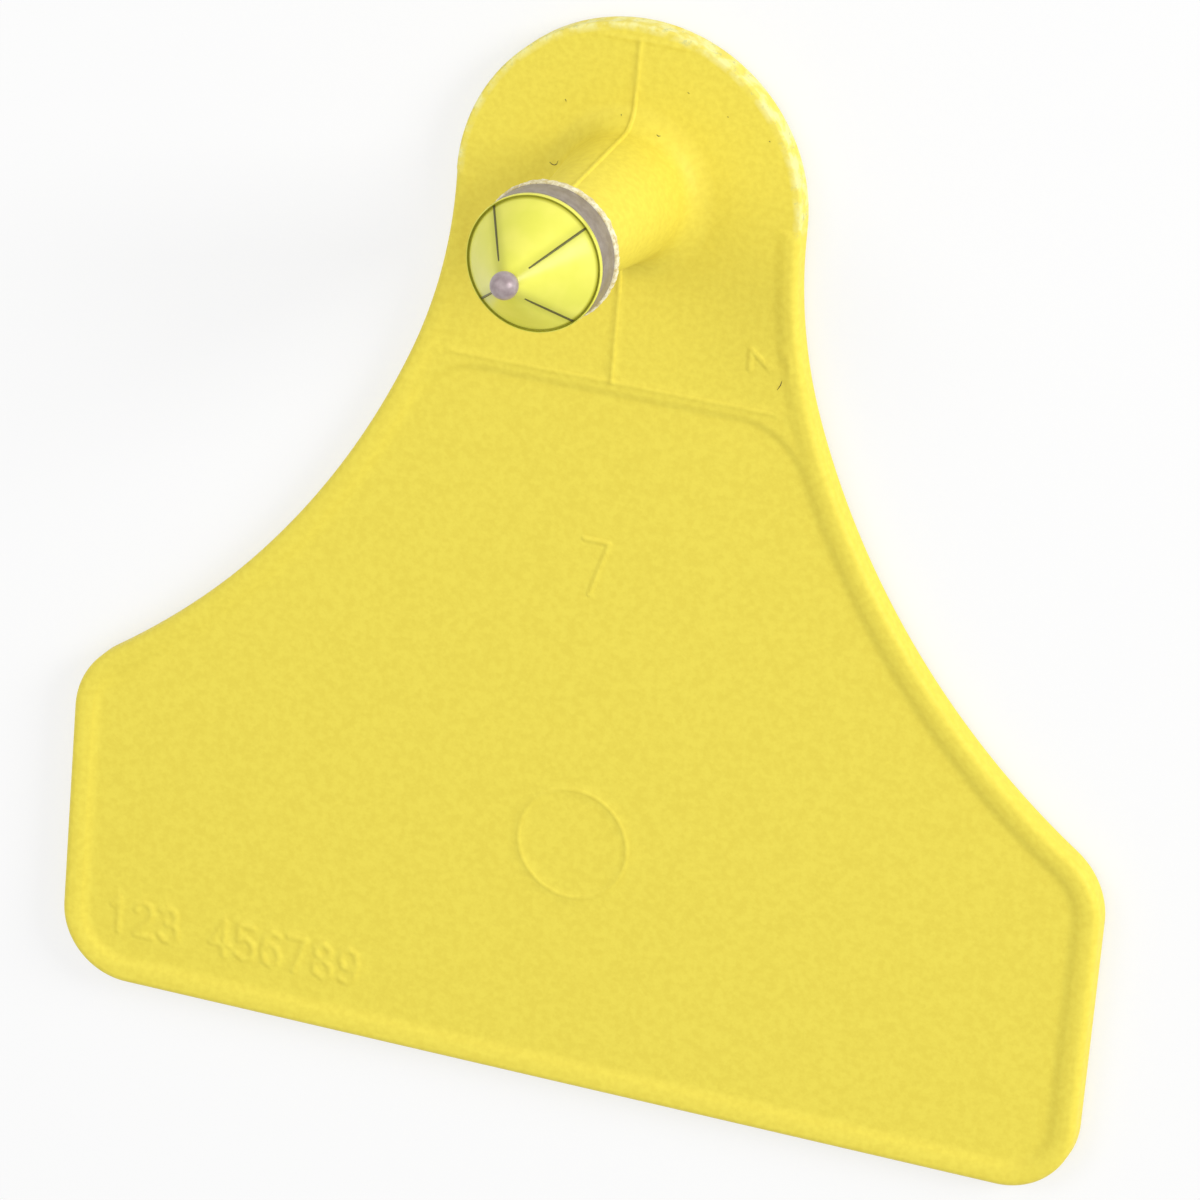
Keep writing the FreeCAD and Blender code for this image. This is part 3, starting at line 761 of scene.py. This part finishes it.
class Finish:
    """A material with its nodes, and short ways to add to them."""

    def __init__(self, name):
        self.made = bpy.data.materials.new(name)
        self.made.use_nodes = True
        self.nodes = self.made.node_tree.nodes
        self.links = self.made.node_tree.links
        self.surface = self.nodes["Principled BSDF"]

    def set(self, **values):
        for socket, value in values.items():
            self.surface.inputs[socket.replace("_", " ")].default_value = value

    def node(self, kind, **values):
        made = self.nodes.new("ShaderNode" + kind)
        for socket, value in values.items():
            made.inputs[socket.replace("_", " ")].default_value = value
        return made

    def noise(self, scale, detail=2.0, roughness=0.5):
        """Noise over the piece's own coordinates, scale in waves per metre."""
        made = self.node("TexNoise", Scale=scale, Detail=detail, Roughness=roughness)
        self.links.new(self.node("TexCoord").outputs["Object"], made.inputs["Vector"])
        return made.outputs["Fac"]

    def mark(self, name):
        made = self.node("Attribute")
        made.attribute_name = name
        return made.outputs["Fac"]

    def spread(self, source, low, high, start=0.0, stop=1.0):
        """The source's range from low to high stretched to start to stop, and kept in it."""
        made = self.node("MapRange")
        made.clamp = True
        made.inputs["From Min"].default_value = low
        made.inputs["From Max"].default_value = high
        made.inputs["To Min"].default_value = start
        made.inputs["To Max"].default_value = stop
        self.links.new(source, made.inputs["Value"])
        return made.outputs["Result"]

    def times(self, one, other):
        made = self.node("Math")
        made.operation = "MULTIPLY"
        self.links.new(one, made.inputs[0])
        self.links.new(other, made.inputs[1])
        return made.outputs["Value"]

    def mix(self, share, under, over):
        """A colour between two, each a plain colour or another node's output."""
        made = self.node("Mix")
        made.data_type = "RGBA"
        self.links.new(share, made.inputs["Factor"])
        for colour, socket in ((under, made.inputs[6]), (over, made.inputs[7])):
            if isinstance(colour, tuple):
                socket.default_value = (*colour, 1)
            else:
                self.links.new(colour, socket)
        return made.outputs[2]

    def colour(self, source):
        self.links.new(source, self.surface.inputs["Base Color"])

    def bump(self, source, depth, strength=1.0):
        """Fine relief, depth in metres."""
        made = self.node("Bump", Strength=strength, Distance=depth)
        self.links.new(source, made.inputs["Height"])
        self.links.new(made.outputs["Normal"], self.surface.inputs["Normal"])


def tag_plastic():
    finish = Finish("tag_plastic_finish")
    finish.set(Roughness=0.5, IOR=1.45, Specular_IOR_Level=0.25)
    tone = finish.spread(finish.noise(2200, 2), 0.35, 0.65)
    yellow = finish.mix(tone, (0.845, 0.70, 0.082), (0.895, 0.755, 0.094))
    cut = finish.mark("scuff")
    pale = finish.times(cut, finish.spread(finish.noise(900, 3, 0.6), 0.42, 0.6, 0.15, 0.9))
    dull = finish.times(cut, finish.spread(finish.noise(1500, 3, 0.7), 0.58, 0.72, 0.0, 0.8))
    shown = finish.mix(pale, yellow, (0.93, 0.88, 0.36))
    finish.colour(finish.mix(dull, shown, (0.50, 0.53, 0.27)))
    finish.bump(finish.noise(5200, 2), 0.00002, 0.35)
    return finish.made


def point_metal():
    finish = Finish("point_metal_finish")
    finish.set(Roughness=0.42, Metallic=0.35, Specular_IOR_Level=0.4)
    shade = finish.mark("shade")
    mottle = finish.spread(finish.noise(1400, 3, 0.6), 0.35, 0.68)
    band = finish.mix(mottle, (0.27, 0.225, 0.19), (0.36, 0.31, 0.265))
    ball = finish.mix(mottle, (0.36, 0.28, 0.29), (0.50, 0.42, 0.42))
    metal = finish.mix(finish.spread(shade, 0.2, 0.4), band, ball)
    finish.colour(finish.mix(finish.spread(shade, 0.7, 0.9), metal, (0.13, 0.125, 0.035)))
    finish.bump(finish.noise(2600, 3), 0.00003, 0.3)
    return finish.made


def cone_plastic():
    finish = Finish("cone_plastic_finish")
    finish.set(Roughness=0.3, IOR=1.49, Specular_IOR_Level=0.4)
    tone = finish.spread(finish.noise(420, 2), 0.4, 0.65)
    body = finish.mix(tone, (0.80, 0.79, 0.10), (0.86, 0.83, 0.13))
    # Painted shade: the cone's colour darkens towards olive beside each fin.
    shadow = finish.mix(finish.spread(finish.mark("fin"), 0.0, 1.0, 0.0, 0.5), body, (0.50, 0.50, 0.05))
    # Painted shade: the groove inside the skirt is coloured dark olive.
    finish.colour(finish.mix(finish.mark("groove"), shadow, (0.34, 0.33, 0.015)))
    return finish.made


def ring_plastic():
    finish = Finish("ring_plastic_finish")
    finish.set(Roughness=0.8, Specular_IOR_Level=0.2)
    tone = finish.spread(finish.noise(2600, 4, 0.7), 0.38, 0.62)
    finish.colour(finish.mix(tone, (0.66, 0.54, 0.25), (0.95, 0.90, 0.66)))
    finish.bump(finish.noise(5000, 4), 0.00006, 0.8)
    return finish.made


def plain(name, colour, roughness):
    finish = Finish(name)
    finish.set(Base_Color=(*colour, 1), Roughness=roughness)
    return finish.made


# ------------------------------------------------------------ build

for piece, node, slot in ((make_tag(tag_plastic()), "tag_body", "tag_plastic"),
                          (make_core(point_metal()), "tip_core", "point_metal"),
                          (make_cover(cone_plastic()), "tip_cover", "cone_plastic"),
                          (make_ring(ring_plastic()), "seal_ring", "ring_plastic")):
    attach(piece, "root")
    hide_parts(node)
specks = make_marks(plain("speck_brown", (0.09, 0.06, 0.02), 0.7))
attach(specks, "root")

# ------------------------------------------------------------ floor, light and camera

FLOOR = cad_box[0].z
FLOOR_GAP = 0.00005
FLOOR_GLOW = 0.6
WORLD_STRENGTH = 0.54


def floor_white():
    """A white floor that shows as near white to the camera but keeps the tag's shadow."""
    finish = Finish("floor_white")
    finish.set(Base_Color=(0.96, 0.96, 0.96, 1), Roughness=1.0, Specular_IOR_Level=0.0)
    glow = finish.node("Emission", Color=(1, 1, 1, 1), Strength=1.0)
    blend = finish.nodes.new("ShaderNodeMixShader")
    path = finish.node("LightPath")
    seen = finish.node("Math")
    seen.operation = "MULTIPLY"
    finish.links.new(path.outputs["Is Camera Ray"], seen.inputs[0])
    seen.inputs[1].default_value = FLOOR_GLOW
    finish.links.new(seen.outputs["Value"], blend.inputs["Fac"])
    finish.links.new(finish.surface.outputs["BSDF"], blend.inputs[1])
    finish.links.new(glow.outputs["Emission"], blend.inputs[2])
    finish.links.new(blend.outputs["Shader"], finish.nodes["Material Output"].inputs["Surface"])
    return finish.made


bpy.ops.mesh.primitive_plane_add(size=6, location=(0, 0, FLOOR - FLOOR_GAP))
floor = bpy.context.object
floor.name = "floor"
floor.data.materials.append(floor_white())


def direction(azimuth, elevation):
    a, e = math.radians(azimuth), math.radians(elevation)
    return Vector((math.sin(a) * math.cos(e), -math.cos(a) * math.cos(e), math.sin(e)))


def softbox(name, azimuth, elevation, distance, size, power, target=(0, -0.03, 0)):
    light = bpy.data.lights.new(name, "AREA")
    light.size = size
    light.energy = power
    holder = bpy.data.objects.new(name, light)
    bpy.context.scene.collection.objects.link(holder)
    away = direction(azimuth, elevation)
    holder.location = Vector(target) + away * distance
    holder.rotation_mode = "QUATERNION"
    holder.rotation_quaternion = away.to_track_quat("Z", "Y")
    return holder


softbox("low_side", 115, 22, 0.8, 0.3, 3.5, target=(0, -0.02, 0))
softbox("high_side", 240, 50, 0.9, 0.4, 1.3, target=(0, -0.02, 0))
softbox("top", 140, 88, 0.9, 0.5, 1.12)

world = bpy.data.worlds.new("studio")
bpy.context.scene.world = world
world.use_nodes = True
world.node_tree.nodes["Background"].inputs["Color"].default_value = (1, 1, 1, 1)
world.node_tree.nodes["Background"].inputs["Strength"].default_value = WORLD_STRENGTH

CAMERA_TARGET = Vector((0.549, -28.805, 1.8)) * MM
CAMERA_DISTANCE = 449.12 * MM
CAMERA_AZIMUTH = 140.54
CAMERA_ELEVATION = 62.284
CAMERA_ROLL = -132.117
CAMERA_LENS = 199.53
CAMERA_SENSOR = 36
camera_data = bpy.data.cameras.new("camera")
camera_data.lens = CAMERA_LENS
camera_data.sensor_width = CAMERA_SENSOR
camera_data.clip_start = 0.01
camera_data.clip_end = 20
camera = bpy.data.objects.new("camera", camera_data)
bpy.context.scene.collection.objects.link(camera)
away = direction(CAMERA_AZIMUTH, CAMERA_ELEVATION)
camera.location = CAMERA_TARGET + away * CAMERA_DISTANCE
camera.rotation_mode = "QUATERNION"
roll = Quaternion((0, 0, 1), math.radians(CAMERA_ROLL))
camera.rotation_quaternion = away.to_track_quat("Z", "Y") @ roll
bpy.context.scene.camera = camera

bpy.context.scene.view_settings.view_transform = "Standard"
